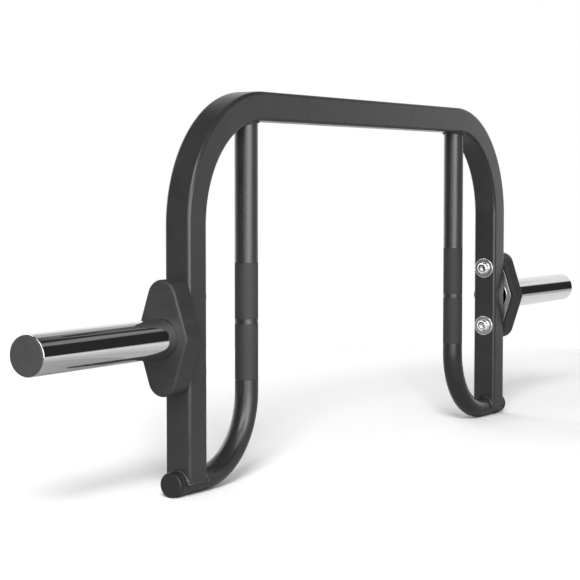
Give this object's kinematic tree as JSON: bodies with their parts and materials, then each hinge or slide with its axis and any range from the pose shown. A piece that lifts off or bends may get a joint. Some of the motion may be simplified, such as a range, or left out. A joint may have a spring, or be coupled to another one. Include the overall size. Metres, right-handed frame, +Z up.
{
  "type": "open-ended trap bar",
  "caption": "Open-ended trap bar: bent square-tube arch, welded vertical handles with knurled grips, diamond rubber bumpers and chromed weight sleeves.",
  "frame": {"origin": "bottom centre of the bounding box: on the floor, midway between the legs and midway through the tubes", "axes": "+X along the weight sleeves, towards the right-hand sleeve; +Y through the arch, away from the picture's viewer; +Z up, as the bar stands"},
  "size_m": [1.5568, 0.079, 0.529],
  "materials": {
    "frame_coat": "satin black powder coat, very finely textured",
    "handle_coat": "satin black coat, knurled in the grip band",
    "plug_plastic": "matt black moulded plastic",
    "bumper_rubber": "matt black moulded rubber",
    "cap_rubber": "matt dark grey moulded rubber",
    "sleeve_chrome": "polished hard chrome",
    "flange_chrome": "chromed with the sleeve, less polished",
    "bolt_zinc": "bright zinc plated",
    "washer_zinc": "bright zinc plated"
  },
  "bodies": {
    "root": {"frame_arch": "frame_coat", "handle_left": "handle_coat", "handle_right": "handle_coat", "handle_plug_left": "plug_plastic", "handle_plug_right": "plug_plastic", "flange_plate_left": "flange_chrome", "flange_plate_right": "flange_chrome", "bumper_left": "bumper_rubber", "bumper_right": "bumper_rubber", "sleeve_left": "sleeve_chrome", "sleeve_right": "sleeve_chrome", "sleeve_cap_left": "cap_rubber", "sleeve_cap_right": "cap_rubber", "bolt_left_upper": "bolt_zinc", "bolt_left_lower": "bolt_zinc", "bolt_right_upper": "bolt_zinc", "bolt_right_lower": "bolt_zinc", "washer_left_upper": "washer_zinc", "washer_left_lower": "washer_zinc", "washer_right_upper": "washer_zinc", "washer_right_lower": "washer_zinc"}
  },
  "joints": []
}
